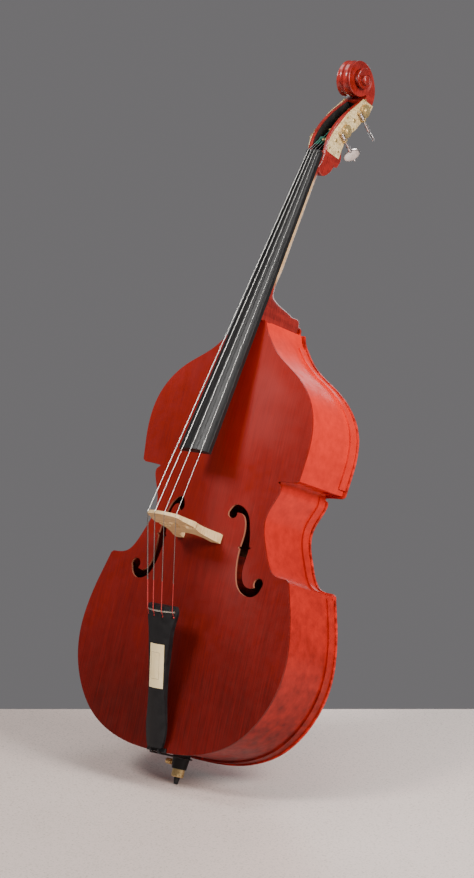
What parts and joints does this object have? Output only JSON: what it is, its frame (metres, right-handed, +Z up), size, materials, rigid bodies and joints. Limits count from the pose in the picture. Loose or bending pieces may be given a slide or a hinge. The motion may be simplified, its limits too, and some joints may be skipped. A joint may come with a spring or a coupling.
{
  "type": "double bass",
  "caption": "Upright double bass with sloped shoulders, arched top with f-holes, bent-back scroll, worm-and-gear tuning machines and a retracting endpin.",
  "frame": {"origin": "centre of the flat underside of the endpin's rubber tip", "axes": "+Z up the long axis of the body, front of the instrument faces -Y, +X to the right of someone who looks at its front"},
  "size_m": [0.6662, 0.4679, 1.9202],
  "materials": {
    "varnished_body": "high gloss red-brown varnish over spruce and maple",
    "varnished_neck": "gloss red varnish on the head and heel, natural maple shaft",
    "bare_spruce": "bare sanded spruce and willow",
    "bare_maple": "bare fine-sanded maple",
    "dark_hardwood": "oiled dark hardwood",
    "black_composite": "satin black",
    "label_paper": "blank cream label with a thin border",
    "fret_metal": "plain polished wire",
    "string_steel": "flat-wound steel with silk ends",
    "machine_brass": "polished and engraved",
    "nickel": "polished nickel",
    "rod_steel": "blackened steel",
    "tip_rubber": "matt"
  },
  "bodies": {
    "bass": {"back_plate": "varnished_body", "bass_bar": "bare_spruce", "bridge": "bare_maple", "corner_blocks": "bare_spruce", "end_block": "bare_spruce", "endpin_ferrule": "machine_brass", "endpin_plug": "black_composite", "fingerboard": "dark_hardwood", "inner_back_linings": "bare_spruce", "inner_top_linings": "bare_spruce", "lower_saddle": "dark_hardwood", "machine_plate_left": "machine_brass", "machine_plate_right": "machine_brass", "neck": "varnished_neck", "neck_block": "bare_spruce", "nut": "dark_hardwood", "outer_back_linings": "varnished_body", "plate_screws": "machine_brass", "rib_lower_left": "varnished_body", "rib_lower_right": "varnished_body", "rib_upper_left": "varnished_body", "rib_upper_right": "varnished_body", "rib_waist_left": "varnished_body", "rib_waist_right": "varnished_body", "sound_post": "bare_spruce", "string_a": "string_steel", "string_d": "string_steel", "string_e": "string_steel", "string_g": "string_steel", "tail_wire": "string_steel", "tailpiece": "black_composite", "tailpiece_fret": "fret_metal", "tailpiece_label": "label_paper", "top_plate": "varnished_body", "worm_brackets": "machine_brass"},
    "roller_body_e": {"roller_e": "machine_brass", "gear_e": "machine_brass"},
    "key_body_e": {"worm_e": "nickel", "key_e": "nickel"},
    "roller_body_a": {"roller_a": "machine_brass", "gear_a": "machine_brass"},
    "key_body_a": {"worm_a": "nickel", "key_a": "nickel"},
    "roller_body_d": {"roller_d": "machine_brass", "gear_d": "machine_brass"},
    "key_body_d": {"worm_d": "nickel", "key_d": "nickel"},
    "roller_body_g": {"roller_g": "machine_brass", "gear_g": "machine_brass"},
    "key_body_g": {"worm_g": "nickel", "key_g": "nickel"},
    "endpin": {"endpin_rod": "rod_steel", "endpin_tip": "tip_rubber"},
    "endpin_screw": {"thumbscrew": "machine_brass"}
  },
  "joints": [
    {"name": "key_turn_e", "type": "hinge", "parent": "bass", "child": "key_body_e", "pos_m": [-0.039, 0.04229, 1.70677], "axis": [0, 0.8508, -0.5255], "continuous": true},
    {"name": "roller_turn_e", "type": "hinge", "parent": "bass", "child": "roller_body_e", "pos_m": [0, 0.03062, 1.68788], "axis": [1, 0, 0], "continuous": true},
    {"name": "key_turn_a", "type": "hinge", "parent": "bass", "child": "key_body_a", "pos_m": [-0.039, 0.09877, 1.77767], "axis": [0, 0.8508, -0.5255], "continuous": true},
    {"name": "roller_turn_a", "type": "hinge", "parent": "bass", "child": "roller_body_a", "pos_m": [0, 0.08711, 1.75878], "axis": [1, 0, 0], "continuous": true},
    {"name": "key_turn_d", "type": "hinge", "parent": "bass", "child": "key_body_d", "pos_m": [0.039, 0.10368, 1.77534], "axis": [0, 0.8508, -0.5255], "continuous": true},
    {"name": "roller_turn_d", "type": "hinge", "parent": "bass", "child": "roller_body_d", "pos_m": [0, 0.11535, 1.79423], "axis": [1, 0, 0], "continuous": true},
    {"name": "key_turn_g", "type": "hinge", "parent": "bass", "child": "key_body_g", "pos_m": [0.039, 0.04594, 1.70287], "axis": [0, 0.8508, -0.5255], "continuous": true},
    {"name": "roller_turn_g", "type": "hinge", "parent": "bass", "child": "roller_body_g", "pos_m": [0, 0.05761, 1.72175], "axis": [1, 0, 0], "continuous": true},
    {"name": "endpin_slide", "type": "slide", "parent": "bass", "child": "endpin", "axis": [0, 0, -1], "range_m": [0, 0.3]},
    {"name": "thumbscrew_turn", "type": "hinge", "parent": "bass", "child": "endpin_screw", "pos_m": [0, 0, 0.052], "axis": [-1, 0, 0], "range_deg": [0, 540]}
  ],
  "couplings": [
    {"joint": "roller_turn_e", "follows": "key_turn_e", "ratio": 0.041667},
    {"joint": "roller_turn_a", "follows": "key_turn_a", "ratio": 0.041667},
    {"joint": "roller_turn_d", "follows": "key_turn_d", "ratio": -0.041667},
    {"joint": "roller_turn_g", "follows": "key_turn_g", "ratio": -0.041667}
  ]
}
